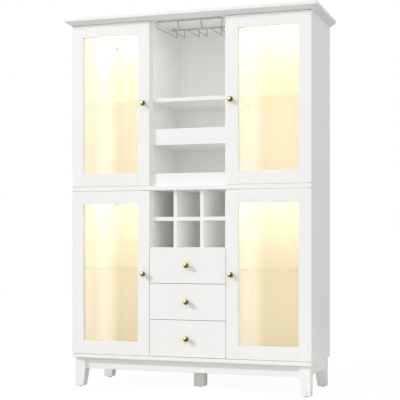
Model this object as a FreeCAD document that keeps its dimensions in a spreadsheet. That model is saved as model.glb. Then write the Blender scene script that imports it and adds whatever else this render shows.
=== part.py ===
import FreeCAD, Part

# White bar cabinet for wine and glassware: a glazed, lit compartment behind
# each of four doors, and a centre column with a stemware rack, open shelves,
# a wine rack of six cubbies and three drawers, on tapered legs.
#
# Frame: X to the right, Y to the back, Z up, millimetres.  The origin is on
# the floor under the middle of the cabinet's box.

import Sketcher
import math
import os

from FreeCAD import Vector, Rotation, Placement

doc = FreeCAD.newDocument("wine_cabinet")

# ---------------------------------------------------------------- sizes

DIMS = (
    # carcass
    ("body_half", 597.0, "half width of the carcass"),
    ("front_y", -198.5, "front plane of doors, drawers and boards"),
    ("carcass_y", -178.5, "front edge of sides, dividers and shelves"),
    ("rear_y", 228.5, "rear edge of sides and boards"),
    ("back_y", 201.5, "front face of the back panels"),
    ("back_t", 5.0, "thickness of the back panels"),
    ("board_t", 18.0, "thickness of sides, dividers, boards, shelves"),
    ("cap_t", 16.0, "thickness of the top board and of the cap"),
    ("overhang", 30.0, "overhang of the cap at front and sides"),
    ("crown_top", 29.0, "projection of the crown moulding under the cap"),
    ("crown_low", 3.0, "projection of the crown moulding at its foot"),
    ("base_z", 145.0, "underside of the bottom board"),
    ("mid_z", 956.5, "underside of the middle board"),
    ("mid_t", 20.5, "thickness of the middle board"),
    ("top_z", 1768.0, "underside of the top board"),
    ("col_half", 181.0, "half the clear width of the centre column"),
    ("groove_deep", 6.0, "depth of the groove for the back panels"),
    ("notch_half", 22.0, "half width of the lead notches in the middle and bottom boards"),
    # joints of the carcass
    ("dowel_r", 4.0, "radius of a dowel"),
    ("dowel_hole", 4.1, "radius of a dowel hole"),
    ("dowel_in", 10.0, "depth of a dowel in each piece"),
    # centre column
    ("display_z", 1378.5, "underside of the display shelf"),
    ("railed_z", 1172.5, "underside of the railed shelf"),
    ("rail_t", 15.0, "thickness of a guard rail"),
    ("rail_up", 59.0, "height of the guard rail on the railed shelf"),
    ("rail_low", 60.0, "height of the guard rail on the middle board"),
    ("wine_floor_z", 666.0, "underside of the wine rack floor"),
    ("wine_shelf_z", 811.0, "underside of the wine rack cross shelf"),
    ("wine_x", 66.5, "centre of the wine rack uprights from the middle"),
    # base
    ("leg_w", 52.0, "width of a leg at the top"),
    ("leg_d", 58.0, "depth of a leg at the top"),
    ("foot_w", 42.0, "width of a corner leg at the foot"),
    ("foot_d", 46.0, "depth of a corner leg at the foot"),
    ("leg_side", 9.0, "inset of the corner legs from the sides"),
    ("leg_front", 17.0, "inset of the front legs from the front plane"),
    ("leg_rear", 6.0, "inset of the rear legs from the rear edge"),
    ("glide_z", 4.5, "height of a foot glide"),
    ("glide_r", 11.0, "radius of a foot glide"),
    ("apron_z", 89.0, "lower edge of the aprons"),
    ("apron_in", 13.0, "inset of an apron from the face of the legs"),
    ("centre_leg_y", 4.0, "middle of the centre leg"),
    # doors
    ("door_t", 18.0, "thickness of doors and drawer fronts"),
    ("door_in", 191.5, "inner edge of a door from the middle"),
    ("stile_w", 60.0, "width of a door stile"),
    ("up_low", 979.0, "lower edge of an upper door"),
    ("up_high", 1765.5, "upper edge of an upper door"),
    ("up_rail_top", 60.0, "height of an upper door's top rail"),
    ("up_rail_bot", 64.5, "height of an upper door's bottom rail"),
    ("lo_low", 165.0, "lower edge of a lower door"),
    ("lo_high", 954.5, "upper edge of a lower door"),
    ("lo_rail_top", 61.5, "height of a lower door's top rail"),
    ("lo_rail_bot", 63.0, "height of a lower door's bottom rail"),
    ("slot_deep", 9.0, "depth of the glass groove in the door frame"),
    ("slot_w", 4.4, "width of the glass groove"),
    ("slot_y", 6.8, "glass groove behind the door's front"),
    ("glass_t", 4.0, "thickness of the door glass"),
    ("glass_in", 8.0, "edge of the glass held in the groove"),
    ("heel", 5.0, "bevel along the rear of the pivot edge"),
    ("pivot_x", 588.0, "door pivot from the middle"),
    ("pivot_in", 9.0, "door pivot behind the front plane"),
    ("pin_r", 3.0, "radius of a pivot pin"),
    ("pin_hole", 3.04, "radius of the pin hole in the stile"),
    ("pin_deep", 20.0, "depth of a pivot pin in the stile"),
    ("pin_out", 7.0, "depth of a pivot pin in its bush"),
    ("bush_r", 5.0, "outer radius of a pivot bush"),
    ("bush_bore", 3.05, "bore radius of a pivot bush"),
    ("bush_deep", 8.0, "depth of a pivot bush in its board"),
    ("bush_lip_r", 7.0, "radius of a bush's lip"),
    ("bush_lip", 1.0, "thickness of a bush's lip"),
    # knobs
    ("knob_x", 218.0, "door knob from the middle"),
    ("knob_up", 1373.0, "height of an upper door's knob"),
    ("knob_lo", 557.0, "height of a lower door's knob"),
    ("knob_r", 14.0, "radius of a knob"),
    ("knob_len", 28.0, "projection of a knob"),
    ("knob_wide", 17.5, "widest point of a knob from its foot"),
    ("knob_rim", 2.5, "rounding of a knob's rim"),
    ("knob_neck", 5.0, "radius of a knob's neck"),
    ("knob_foot", 7.5, "radius of a knob's foot"),
    ("screw_r", 2.0, "radius of a knob screw"),
    ("screw_head", 4.0, "radius of a knob screw's head"),
    ("screw_in", 12.0, "depth of a knob screw in its knob"),
    # door catches
    ("catch_x", 204.0, "near end of a catch from the middle"),
    ("catch_len", 42.0, "length of a catch"),
    ("catch_deep", 14.0, "depth of a catch"),
    ("catch_high", 15.0, "height of a catch"),
    ("strike_len", 36.0, "length of a strike plate"),
    ("strike_high", 11.0, "height of a strike plate"),
    ("strike_t", 1.5, "thickness of a strike plate"),
    # drawers
    ("front_half", 189.3, "half width of a drawer front"),
    ("d1_low", 513.5, "lower edge of the upper drawer front"),
    ("d1_high", 683.5, "upper edge of the upper drawer front"),
    ("d2_low", 341.0, "lower edge of the middle drawer front"),
    ("d2_high", 511.5, "upper edge of the middle drawer front"),
    ("d3_low", 165.0, "lower edge of the lower drawer front"),
    ("d3_high", 339.0, "upper edge of the lower drawer front"),
    ("box_half", 168.3, "half width of a drawer box outside"),
    ("box_t", 12.0, "thickness of a drawer box's sides and back"),
    ("box_high", 112.0, "height of a drawer box"),
    ("box_up", 22.0, "drawer box above the front's lower edge"),
    ("box_deep", 350.0, "depth of a drawer box"),
    ("bot_up", 10.0, "drawer bottom above the box's lower edge"),
    ("bot_t", 5.0, "thickness of a drawer bottom"),
    ("bot_in", 5.5, "edge of a drawer bottom held in its groove"),
    ("bot_slot", 5.3, "width of the groove for a drawer bottom"),
    ("run_len", 350.0, "length of a drawer runner"),
    ("run_high", 30.0, "height of a fixed runner"),
    ("run_slim", 25.6, "height of a moving runner"),
    ("run_wide", 10.2, "width of a runner's channel"),
    ("run_t", 1.2, "sheet thickness of a runner"),
    ("run_up", 26.0, "runner above the box's lower edge"),
    # glass shelves
    ("shelf_up", 1386.0, "underside of an upper glass shelf"),
    ("shelf_lo", 576.0, "underside of a lower glass shelf"),
    ("shelf_t", 6.0, "thickness of a glass shelf"),
    ("shelf_gap", 1.5, "gap at the ends of a glass shelf"),
    ("shelf_y", -168.5, "front edge of a glass shelf"),
    ("shelf_deep", 368.0, "depth of a glass shelf"),
    ("peg_r", 2.5, "radius of a shelf pin"),
    ("peg_hole", 2.6, "radius of a shelf pin hole"),
    ("peg_in", 9.0, "depth of a shelf pin in its panel"),
    ("peg_tab", 10.0, "length of a shelf pin's tab"),
    # stemware rack
    ("wire_r", 2.5, "radius of the rack's rods"),
    ("bar_r", 3.0, "radius of the rack's cross bars"),
    ("rack_front", -171.5, "front bar of the rack"),
    ("rack_rear", 41.5, "rear bar of the rack"),
    ("rack_bar_z", 1763.5, "height of the rack's bars"),
    ("rack_rod_z", 1725.0, "height of the rack's rods"),
    ("rack_half", 168.0, "half length of the rack's bars"),
    ("rod_out", 136.5, "outer rod from the middle"),
    ("rod_mid", 95.5, "middle rod from the middle"),
    ("rod_in", 20.5, "inner rod from the middle"),
    ("tab_t", 2.2, "thickness of a rack tab"),
    # lights
    ("led_x", 214.0, "near end of a light bar from the middle"),
    ("led_len", 350.0, "length of a light bar"),
    ("led_y", 63.5, "front of a light bar"),
    ("led_w", 16.0, "width of a light bar"),
    ("led_high", 9.0, "height of a light bar"),
    ("led_t", 1.2, "wall of a light bar"),
    ("lens_t", 2.0, "thickness of a diffuser"),
    ("lead_r", 2.0, "radius of a lead"),
    ("lead_x", 528.0, "lead and grommet from the middle"),
    ("lead_back", 214.5, "run of the leads behind the back panels"),
    ("pass_up", 1722.0, "height of an upper grommet"),
    ("pass_lo", 909.0, "height of a lower grommet"),
    ("grommet_r", 8.0, "radius of a grommet's sleeve"),
    ("grommet_bore", 5.0, "bore radius of a grommet"),
    ("grommet_lip", 11.0, "radius of a grommet's lip"),
    ("driver_half", 60.0, "half length of the driver box"),
    ("driver_low", 815.0, "lower face of the driver box"),
    ("driver_high", 45.0, "height of the driver box"),
    ("driver_deep", 18.0, "depth of the driver box"),
    ("inlet_r", 3.2, "radius of the driver's inlet"),
)

sheet = doc.addObject("Spreadsheet::Sheet", "Sizes")
for row, (alias, value, what) in enumerate(DIMS, 1):
    sheet.set("A%d" % row, what)
    sheet.set("B%d" % row, repr(value))
    sheet.setAlias("B%d" % row, alias)
doc.recompute()


class Size(object):
    """A length together with the sheet formula that gives it."""

    def __init__(self, value, text):
        self.v = float(value)
        self.t = text

    @staticmethod
    def of(q):
        if isinstance(q, Size):
            return q
        text = "%.4f" % float(q)
        return Size(q, text if float(q) >= 0 else "(0 - %.4f)" % -float(q))

    def __add__(self, q):
        q = Size.of(q)
        return Size(self.v + q.v, "(%s + %s)" % (self.t, q.t))

    def __radd__(self, q):
        return Size.of(q) + self

    def __sub__(self, q):
        q = Size.of(q)
        return Size(self.v - q.v, "(%s - %s)" % (self.t, q.t))

    def __rsub__(self, q):
        return Size.of(q) - self

    def __mul__(self, k):
        k = Size.of(k)
        return Size(self.v * k.v, "(%s * %s)" % (self.t, k.t))

    __rmul__ = __mul__

    def __truediv__(self, k):
        k = Size.of(k)
        return Size(self.v / k.v, "(%s / %s)" % (self.t, k.t))

    def __neg__(self):
        return Size(-self.v, "(0 - %s)" % self.t)


class Sheet(object):
    pass


S = Sheet()
for alias, value, what in DIMS:
    setattr(S, alias, Size(value, "Sizes." + alias))

# derived heights and planes
mid_top = S.mid_z + S.mid_t
bot_top = S.base_z + S.board_t
cap_z = S.top_z + S.cap_t
side_x = S.body_half - S.board_t
div_x = S.col_half + S.board_t
door_y = S.front_y + S.door_t
pivot_y = S.front_y + S.pivot_in
shelf_len = S.back_y - S.carcass_y


# -------------------------------------------------------------- builders

def val(q):
    return q.v if isinstance(q, Size) else float(q)


def fix(obj, prop, q):
    """Set a length on an object, and tie it to the sheet."""
    setattr(obj, prop, val(q))
    if isinstance(q, Size):
        obj.setExpression(prop, q.t)


def place(obj, x, y, z, rot=None):
    obj.Placement = Placement(Vector(val(x), val(y), val(z)), rot or Rotation())
    for axis, q in zip("xyz", (x, y, z)):
        if isinstance(q, Size):
            obj.setExpression("Placement.Base." + axis, q.t)
    return obj


def box(name, lx, ly, lz, x, y, z):
    obj = doc.addObject("Part::Box", name)
    fix(obj, "Length", lx)
    fix(obj, "Width", ly)
    fix(obj, "Height", lz)
    return place(obj, x, y, z)


TURN = {
    "z": Rotation(),
    "x": Rotation(Vector(0, 1, 0), 90),
    "y": Rotation(Vector(1, 0, 0), -90),
    "-y": Rotation(Vector(1, 0, 0), 90),
    "-z": Rotation(Vector(1, 0, 0), 180),
}


def rod(name, r, length, x, y, z, axis="z"):
    obj = doc.addObject("Part::Cylinder", name)
    fix(obj, "Radius", r)
    fix(obj, "Height", length)
    return place(obj, x, y, z, TURN[axis])


def cut(name, base, tools):
    tool = tools[0]
    if len(tools) > 1:
        tool = doc.addObject("Part::Compound", name + "_holes")
        tool.Links = tools
    obj = doc.addObject("Part::Cut", name)
    obj.Base = base
    obj.Tool = tool
    return obj


def fuse(name, parts):
    obj = doc.addObject("Part::MultiFuse", name)
    obj.Shapes = parts
    obj.Refine = False
    return obj


def group(name, parts):
    obj = doc.addObject("Part::Compound", name)
    obj.Links = parts
    return obj


def mirror(name, source, normal=(1, 0, 0), base=(0, 0, 0)):
    obj = doc.addObject("Part::Mirroring", name)
    obj.Source = source
    obj.Normal = Vector(*normal)
    obj.Base = Vector(*base)
    return obj


def pair(name, source):
    """A piece of the right-hand side and its twin on the left."""
    return group(name, [source, mirror(name + "_left", source)])


def new_body(name):
    return doc.addObject("PartDesign::Body", name)


def outline(body, name, role, points, lift=0):
    """A closed outline on one of the body's own planes.  Each corner is held
    by its two coordinates."""
    sk = body.newObject("Sketcher::SketchObject", name)
    plane = [f for f in body.Origin.OriginFeatures if f.Role == role][0]
    sk.AttachmentSupport = [(plane, "")]
    sk.MapMode = "FlatFace"
    if val(lift):
        sk.AttachmentOffset = Placement(Vector(0, 0, val(lift)), Rotation())
        if isinstance(lift, Size):
            sk.setExpression("AttachmentOffset.Base.z", lift.t)
    spots = [Vector(val(a), val(b), 0) for a, b in points]
    n = len(spots)
    for i in range(n):
        sk.addGeometry(Part.LineSegment(spots[i], spots[(i + 1) % n]), False)
    for i in range(n):
        sk.addConstraint(Sketcher.Constraint("Coincident", i, 2, (i + 1) % n, 1))
    for i, pair_ in enumerate(points):
        for kind, axis, q in (("DistanceX", -2, pair_[0]), ("DistanceY", -1, pair_[1])):
            if abs(val(q)) < 1e-9:
                sk.addConstraint(Sketcher.Constraint("PointOnObject", i, 1, axis))
            else:
                k = sk.addConstraint(Sketcher.Constraint(kind, -1, 1, i, 1, val(q)))
                if isinstance(q, Size):
                    sk.setExpression("Constraints[%d]" % k, q.t)
    return sk


def pad(body, name, sk, length, back=False):
    f = body.newObject("PartDesign::Pad", name)
    f.Profile = sk
    fix(f, "Length", length)
    f.Reversed = back
    body.Tip = f
    return f


def revolve(body, name, sk):
    f = body.newObject("PartDesign::Revolution", name)
    f.Profile = sk
    f.ReferenceAxis = (sk, ["V_Axis"])
    f.Angle = 360.0
    body.Tip = f
    return f


def bent(name, points, r, bends):
    """A round wire along straight runs joined by tangent arcs."""
    pts = [Vector(*p) for p in points]
    dirs = []
    for a, b in zip(pts, pts[1:]):
        d = b.sub(a)
        dirs.append(d.multiply(1.0 / d.Length))
    trims = [0.0]
    for i, big in enumerate(bends):
        turn = dirs[i].getAngle(dirs[i + 1])
        trims.append(big * math.tan(turn / 2.0))
    trims.append(0.0)
    parts = []
    for i, d in enumerate(dirs):
        a = pts[i] + Vector(d).multiply(trims[i])
        long = (pts[i + 1] - pts[i]).Length - trims[i] - trims[i + 1]
        if long > 1e-6:
            run = doc.addObject("Part::Cylinder", "%s_run%d" % (name, i))
            fix(run, "Radius", r)
            run.Height = long
            run.Placement = Placement(a, Rotation(Vector(0, 0, 1), d))
            parts.append(run)
    for i, big in enumerate(bends):
        d1, d2 = dirs[i], dirs[i + 1]
        start = pts[i + 1] - Vector(d1).multiply(trims[i + 1])
        side = d2 - Vector(d1).multiply(d1.dot(d2))
        side.normalize()
        mid = start + Vector(side).multiply(big)
        out = Vector(side).multiply(-1.0)
        arc = doc.addObject("Part::Torus", "%s_bend%d" % (name, i))
        arc.Radius1 = big
        fix(arc, "Radius2", r)
        arc.Angle3 = math.degrees(d1.getAngle(d2))
        arc.Placement = Placement(mid, Rotation(out, Vector(d1), out.cross(d1), "XYZ"))
        parts.append(arc)
    if len(parts) == 1:
        return parts[0]
    return fuse(name, parts)


NODES = []


def node(label, obj):
    obj.Label = label
    NODES.append((label, obj))
    return obj


# ------------------------------------------------ dowels and their holes

dowels = []
holes = {}


def bore(board, obj):
    holes.setdefault(board, []).append(obj)


def upright_dowels(tag, x, joint_z, ys, upper, lower, both_upper, both_lower):
    """Dowels across a level joint, on both sides of the middle."""
    for k, y in enumerate(ys):
        for hand, sx in (("r", 1.0), ("l", -1.0)):
            name = "%s_%d%s" % (tag, k, hand)
            dowels.append(rod("dowel_" + name, S.dowel_r, S.dowel_in * 2.0,
                              x * sx, y, joint_z - S.dowel_in))
            if hand == "r" or both_upper:
                bore(upper, rod("hole_u_" + name, S.dowel_hole, S.dowel_in + 0.5,
                                x * sx, y, joint_z))
            if hand == "r" or both_lower:
                bore(lower, rod("hole_d_" + name, S.dowel_hole, S.dowel_in + 0.5,
                                x * sx, y, joint_z - S.dowel_in - 0.5))


def level_dowels(tag, z, ys, shelf, divider):
    """Dowels from the ends of a column shelf into the two dividers."""
    for k, y in enumerate(ys):
        for hand, sx in (("r", 1.0), ("l", -1.0)):
            name = "%s_%d%s" % (tag, k, hand)
            a = S.col_half * sx - S.dowel_in
            dowels.append(rod("dowel_" + name, S.dowel_r, S.dowel_in * 2.0, a, y, z, "x"))
            if hand == "r":
                bore(divider, rod("hole_v_" + name, S.dowel_hole, S.dowel_in + 0.5,
                                  S.col_half, y, z, "x"))
                bore(shelf, rod("hole_s_" + name, S.dowel_hole, S.dowel_in + 0.5,
                                S.col_half - S.dowel_in - 0.5, y, z, "x"))
            else:
                bore(shelf, rod("hole_s_" + name, S.dowel_hole, S.dowel_in + 0.5,
                                -S.col_half, y, z, "x"))


near = (S.carcass_y + 45.0, S.back_y - 45.0)
wide = (S.carcass_y + 80.0, S.back_y - 80.0)
side_mid = S.body_half - S.board_t / 2.0
div_mid = S.col_half + S.board_t / 2.0

upright_dowels("us_top", side_mid, S.top_z, near, "carcass_top", "upper_side", True, False)
upright_dowels("us_bot", side_mid, mid_top, near, "upper_side", "mid_board", False, True)
upright_dowels("ud_top", div_mid, S.top_z, near, "carcass_top", "upper_divider", True, False)
upright_dowels("ud_bot", div_mid, mid_top, near, "upper_divider", "mid_board", False, True)
upright_dowels("ls_top", side_mid, S.mid_z, wide, "mid_board", "lower_side", True, False)
upright_dowels("ls_bot", side_mid, bot_top, wide, "lower_side", "bottom_board", False, True)
upright_dowels("ld_top", div_mid, S.mid_z, wide, "mid_board", "lower_divider", True, False)
upright_dowels("ld_bot", div_mid, bot_top, wide, "lower_divider", "bottom_board", False, True)

half_t = S.board_t / 2.0
sixty = (S.carcass_y + 60.0, S.back_y - 60.0)
level_dowels("display", S.display_z + half_t, sixty, "display_shelf", "upper_divider")
level_dowels("railed", S.railed_z + half_t, sixty, "railed_shelf", "upper_divider")
level_dowels("cross", S.wine_shelf_z + half_t, sixty, "wine_shelf", "lower_divider")
level_dowels("floor", S.wine_floor_z + half_t, sixty, "wine_floor", "lower_divider")

node("panel_dowels", group("panel_dowels", dowels))

# ------------------------------------------------------ shelf pins, glass

shelf_glass = []
pegs = []
peg_ys = (S.shelf_y + 40.0, S.shelf_y + S.shelf_deep - 50.0)
for tag, z in (("up", S.shelf_up), ("lo", S.shelf_lo)):
    x0 = div_x + S.shelf_gap
    pane = box("shelf_glass_" + tag, side_x - div_x - S.shelf_gap * 2.0,
               S.shelf_deep, S.shelf_t, x0, S.shelf_y, z)
    shelf_glass += [pane, mirror("shelf_glass_%s_left" % tag, pane)]
    side = "upper_side" if tag == "up" else "lower_side"
    divider = "upper_divider" if tag == "up" else "lower_divider"
    low = z - 3.0
    for k, y in enumerate(peg_ys):
        name = "peg_%s_%d" % (tag, k)
        bore(side, rod(name + "_hole_side", S.peg_hole, S.peg_in + 0.5, side_x, y, low, "x"))
        bore(divider, rod(name + "_hole_div", S.peg_hole, S.peg_in + 0.5,
                          div_x - S.peg_in - 0.5, y, low, "x"))
        outer = fuse(name + "_outer", [
            rod(name + "_outer_stem", S.peg_r, S.peg_in + 2.0, side_x - 2.0, y, low, "x"),
            box(name + "_outer_tab", S.peg_tab, 8.0, 2.0, side_x - S.peg_tab, y - 4.0, z - 2.0)])
        inner = fuse(name + "_inner", [
            rod(name + "_inner_stem", S.peg_r, S.peg_in + 2.0, div_x - S.peg_in, y, low, "x"),
            box(name + "_inner_tab", S.peg_tab, 8.0, 2.0, div_x, y - 4.0, z - 2.0)])
        pegs += [outer, inner,
                 mirror(name + "_outer_left", outer), mirror(name + "_inner_left", inner)]
node("glass_shelves", group("glass_shelves", shelf_glass))
node("shelf_pins", group("shelf_pins", pegs))

# ------------------------------------------------------------ pivot bushes

def bush(name, z, up):
    """Lipped bush in a board: its lip stands in the gap to the door."""
    b = new_body(name)
    sk = outline(b, name + "_section", "XZ_Plane", (
        (S.bush_bore, -S.bush_lip), (S.bush_lip_r, -S.bush_lip), (S.bush_lip_r, 0.0),
        (S.bush_r, 0.0), (S.bush_r, S.bush_deep), (S.bush_bore, S.bush_deep)))
    revolve(b, name + "_turn", sk)
    place(b, S.pivot_x, pivot_y, z, TURN["z" if up else "-z"])
    return b


bush_list = []
for tag, board, z, up in (("bush_u_top", "carcass_top", S.top_z, True),
                          ("bush_u_bot", "mid_board", mid_top, False),
                          ("bush_l_top", "mid_board", S.mid_z, True),
                          ("bush_l_bot", "bottom_board", bot_top, False)):
    b = bush(tag, z, up)
    bush_list += [b, mirror(tag + "_left", b)]
    z0 = z if up else z - S.bush_deep
    for hand, sx in (("r", 1.0), ("l", -1.0)):
        bore(board, rod("%s_seat_%s" % (tag, hand), S.bush_r + 0.1, S.bush_deep,
                        S.pivot_x * sx, pivot_y, z0))
node("pivot_bushes", group("pivot_bushes", bush_list))

# ------------------------------------------------------- stemware rack

rack = []
RB, RZ = S.rack_bar_z.v, S.rack_rod_z.v
RF, RR = S.rack_front.v, S.rack_rear.v
for tag, y in (("front", S.rack_front), ("rear", S.rack_rear)):
    rack.append(rod("rack_bar_" + tag, S.bar_r, S.rack_half * 2.0, -S.rack_half, y, S.rack_bar_z, "x"))
for hand, sx in (("r", 1.0), ("l", -1.0)):
    a, b_, o = sx * S.rod_in.v, sx * S.rod_mid.v, sx * S.rod_out.v
    rack.append(bent("rack_land_" + hand, (
        (a, RR, RB), (a, RR, RZ), (a, RF + 25.5, RZ),
        (b_, RF + 25.5, RZ), (b_, RR, RZ), (b_, RR, RB)), S.wire_r, (8.0, 34.0, 34.0, 8.0)))
    rack.append(bent("rack_edge_" + hand, (
        (o, RR, RB), (o, RR, RZ), (o, RF + 63.0, RZ),
        (sx * 163.0, RF, RZ + 10.0), (sx * 163.0, RF, RB)), S.wire_r, (8.0, 60.0, 8.0)))
    rack.append(bent("rack_stay_" + hand, (
        (sx * 58.0, RF + 25.5, RZ), (sx * 58.0, RF, RB)), S.wire_r, ()))
    for tag, y0 in (("front", S.rack_front), ("rear", S.rack_rear - 24.0)):
        flat = box("rack_tab_%s_%s" % (tag, hand), 16.0, 24.0, S.tab_t,
                   sx * 146.0 - 8.0, y0, S.top_z - S.tab_t)
        yh = y0 + (16.0 if tag == "front" else 8.0)
        rack.append(cut("rack_tab_cut_%s_%s" % (tag, hand), flat, [
            rod("rack_tab_hole_%s_%s" % (tag, hand), 2.2, 6.0, sx * 146.0, yh, S.top_z - 4.0)]))
node("stemware_rack", fuse("stemware_rack", rack))

screws = []
for hand, sx in (("r", 1.0), ("l", -1.0)):
    for tag, yh in (("front", S.rack_front + 16.0), ("rear", S.rack_rear - 16.0)):
        name = "rack_screw_%s_%s" % (tag, hand)
        screws.append(fuse(name, [
            rod(name + "_shank", 1.75, 12.0, sx * 146.0, yh, S.top_z - S.tab_t),
            rod(name + "_head", 3.5, 2.0, sx * 146.0, yh, S.top_z - S.tab_t - 2.0)]))
        bore("carcass_top", rod(name + "_pilot", 1.9, 10.5, sx * 146.0, yh, S.top_z))
node("rack_screws", group("rack_screws", screws))

# ------------------------------------------------------------ carcass boards

full_w = S.body_half * 2.0
full_d = S.rear_y - S.front_y

node("top_cap", box("top_cap", full_w + S.overhang * 2.0, full_d + S.overhang, S.cap_t,
                    -S.body_half - S.overhang, S.front_y - S.overhang, cap_z))

node("carcass_top", cut("carcass_top", box(
    "carcass_top_board", full_w, full_d, S.cap_t, -S.body_half, S.front_y, S.top_z),
    holes["carcass_top"]))

notch = box("lead_notch", S.notch_half * 2.0, S.rear_y - S.back_y, S.mid_t + 2.0,
            -S.notch_half, S.back_y + S.back_t, S.mid_z - 1.0)
node("mid_board", cut("mid_board", box(
    "mid_board_board", full_w, full_d, S.mid_t, -S.body_half, S.front_y, S.mid_z),
    holes["mid_board"] + [notch]))

# the supply lead drops straight from the driver's inlet through this notch
supply_notch = box("supply_notch", S.notch_half * 2.0, S.rear_y - S.back_y, S.board_t + 2.0,
                   -S.notch_half, S.back_y + S.back_t, S.base_z - 1.0)
node("bottom_board", cut("bottom_board", box(
    "bottom_board_board", full_w, full_d, S.board_t, -S.body_half, S.front_y, S.base_z),
    holes["bottom_board"] + [supply_notch]))

for tag, z0, z1 in (("upper", mid_top, S.top_z), ("lower", bot_top, S.mid_z)):
    groove = box(tag + "_side_groove", S.groove_deep + 1.0, S.back_t + 0.2, z1 - z0 + 2.0,
                 side_x - 1.0, S.back_y - 0.1, z0 - 1.0)
    panel = cut(tag + "_side_right", box(
        tag + "_side_board", S.board_t, S.rear_y - S.carcass_y, z1 - z0,
        side_x, S.carcass_y, z0), holes[tag + "_side"] + [groove])
    node(tag + "_side_panels", pair(tag + "_side_panels", panel))

dividers = []
for tag, z0, z1 in (("upper", mid_top, S.top_z), ("lower", bot_top, S.mid_z)):
    panel = cut(tag + "_divider_right", box(
        tag + "_divider_board", S.board_t, shelf_len, z1 - z0,
        S.col_half, S.carcass_y, z0), holes[tag + "_divider"])
    dividers += [panel, mirror(tag + "_divider_left", panel)]
node("column_dividers", group("column_dividers", dividers))

back_half = side_x + S.groove_deep - 0.5
for tag, z0, z1, zp in (("upper", mid_top, S.top_z, S.pass_up), ("lower", bot_top, S.mid_z, S.pass_lo)):
    sheet_board = box(tag + "_back_board", back_half * 2.0, S.back_t, z1 - z0, -back_half, S.back_y, z0)
    node(tag + "_back_panel", cut(tag + "_back_panel", sheet_board, [
        rod("%s_pass_%s" % (tag, hand), S.grommet_r + 0.1, S.back_t + 2.0,
            S.lead_x * sx, S.back_y - 1.0, zp, "y")
        for hand, sx in (("r", 1.0), ("l", -1.0))]))

# crown moulding: a bevelled collar, mitred at the two front corners
collar = new_body("crown_collar")


def collar_ring(name, out, z):
    h = S.body_half + out
    f = S.front_y - out
    return outline(collar, name, "XY_Plane", ((-h, f), (h, f), (h, S.rear_y), (-h, S.rear_y)), z)


low_ring = collar_ring("crown_foot", S.crown_low, S.top_z)
high_ring = collar_ring("crown_head", S.crown_top, cap_z)
loft = collar.newObject("PartDesign::AdditiveLoft", "crown_bevel")
loft.Profile = low_ring
loft.Sections = [high_ring]
loft.Ruled = True
collar.Tip = loft
hollow = box("crown_hollow", full_w, full_d + 1.0, S.cap_t + 2.0, -S.body_half, S.front_y, S.top_z - 1.0)
crown = cut("crown_open", collar, [hollow])
past = 43.0


def mitre(name, points):
    b = new_body(name)
    sk = outline(b, name + "_plan", "XY_Plane", points, S.top_z - 2.0)
    pad(b, name + "_block", sk, S.cap_t + 4.0)
    return b


bx, fy, ry = S.body_half, S.front_y, S.rear_y
pieces = []
for name, points in (
        ("crown_front", ((-bx - past, fy - past), (bx + past, fy - past), (bx - 40.0, fy + 40.0), (-bx + 40.0, fy + 40.0))),
        ("crown_right", ((bx + past, fy - past), (bx + past, ry + 5.0), (bx - 40.0, ry + 5.0), (bx - 40.0, fy + 40.0))),
        ("crown_left", ((-bx - past, fy - past), (-bx + 40.0, fy + 40.0), (-bx + 40.0, ry + 5.0), (-bx - past, ry + 5.0)))):
    piece = doc.addObject("Part::Common", name)
    piece.Base = crown
    piece.Tool = mitre(name + "_mitre", points)
    pieces.append(piece)
node("crown_moulding", group("crown_moulding", pieces))

# ------------------------------------------------------------ centre column

def column_shelf(name, z):
    board = box(name + "_board", S.col_half * 2.0, shelf_len, S.board_t, -S.col_half, S.carcass_y, z)
    return cut(name, board, holes[name])


node("column_shelves", group("column_shelves", [
    column_shelf("display_shelf", S.display_z), column_shelf("railed_shelf", S.railed_z)]))
node("wine_rack_shelves", group("wine_rack_shelves", [
    column_shelf("wine_floor", S.wine_floor_z), column_shelf("wine_shelf", S.wine_shelf_z)]))

node("guard_rails", group("guard_rails", [
    box("guard_rail_upper", S.col_half * 2.0, S.rail_t, S.rail_up, -S.col_half, S.carcass_y, S.railed_z + S.board_t),
    box("guard_rail_lower", S.col_half * 2.0, S.rail_t, S.rail_low, -S.col_half, S.carcass_y, mid_top)]))

uprights = []
for tag, z0, z1 in (("high", S.wine_shelf_z + S.board_t, S.mid_z),
                    ("low", S.wine_floor_z + S.board_t, S.wine_shelf_z)):
    u = box("wine_upright_" + tag, S.board_t, shelf_len, z1 - z0, S.wine_x - half_t, S.carcass_y, z0)
    uprights += [u, mirror("wine_upright_%s_left" % tag, u)]
node("wine_rack_uprights", group("wine_rack_uprights", uprights))

# --------------------------------------------------------------------- base

leg_x = S.body_half - S.leg_side
leg_front_y = S.front_y + S.leg_front
leg_rear_y = S.rear_y - S.leg_rear


def plan(body, name, w, d, z):
    """Plan of a corner leg that keeps its outer corner at the local origin."""
    return outline(body, name, "XY_Plane", ((0.0, 0.0), (0.0, d), (-w, d), (-w, 0.0)), z)


leg = new_body("leg_front_right")
taper = leg.newObject("PartDesign::AdditiveLoft", "leg_taper")
taper.Profile = plan(leg, "leg_foot_plan", S.foot_w, S.foot_d, S.glide_z)
taper.Sections = [plan(leg, "leg_knee_plan", S.leg_w, S.leg_d, S.apron_z)]
taper.Ruled = True
leg.Tip = taper
pad(leg, "leg_block", plan(leg, "leg_head_plan", S.leg_w, S.leg_d, S.apron_z), S.base_z - S.apron_z)
place(leg, leg_x, leg_front_y, 0.0)
mid_y = (leg_front_y + leg_rear_y) / 2.0
rear_leg = mirror("leg_rear_right", leg, (0, 1, 0), (0, mid_y.v, 0))
node("corner_legs", group("corner_legs", [
    leg, mirror("leg_front_left", leg), rear_leg, mirror("leg_rear_left", rear_leg)]))

node("centre_leg", box("centre_leg", S.leg_w, S.leg_d, S.base_z - S.glide_z,
                       -S.leg_w / 2.0, S.centre_leg_y - S.leg_d / 2.0, S.glide_z))


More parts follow.
